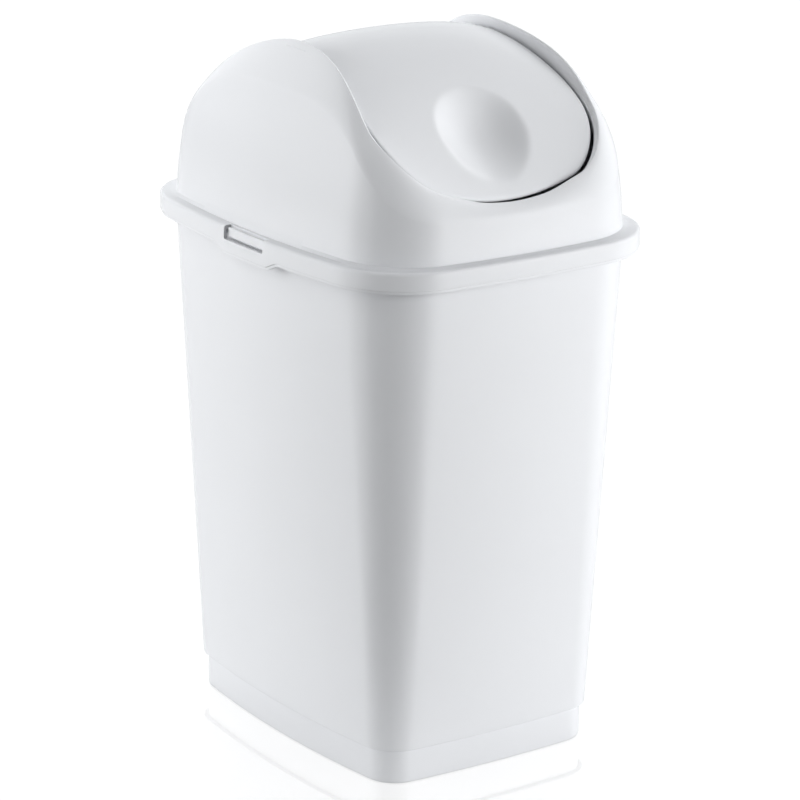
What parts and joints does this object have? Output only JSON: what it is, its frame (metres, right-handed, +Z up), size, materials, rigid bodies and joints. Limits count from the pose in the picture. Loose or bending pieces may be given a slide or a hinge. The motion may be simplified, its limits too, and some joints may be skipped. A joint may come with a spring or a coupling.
{
  "type": "swing lid trash can",
  "caption": "Countertop bin: tapered bowed bucket with inset plinth, domed hood with two raised ears, and a crowned swinging flap with a thumb dish.",
  "frame": {"origin": "middle of the underside of the bucket, on the ground plane", "axes": "+Z up, the front with the thumb dish faces -Y, +X to the right seen from the front; the flap turns about X"},
  "size_m": [0.1574, 0.195, 0.3047],
  "materials": {
    "bucket_plastic": "gloss",
    "hood_plastic": "gloss",
    "flap_plastic": "gloss"
  },
  "bodies": {
    "bin": {"bucket": "bucket_plastic"},
    "lid": {"hood": "hood_plastic"},
    "swing": {"flap": "flap_plastic"}
  },
  "joints": [
    {"name": "hood_lift", "type": "slide", "parent": "bin", "child": "lid", "axis": [0, 0, 1], "range_m": [0, 0.06]},
    {"name": "flap_swing", "type": "hinge", "parent": "lid", "child": "swing", "pos_m": [0, 0, 0.2905], "axis": [1, 0, 0], "range_deg": [-75, 75]}
  ]
}
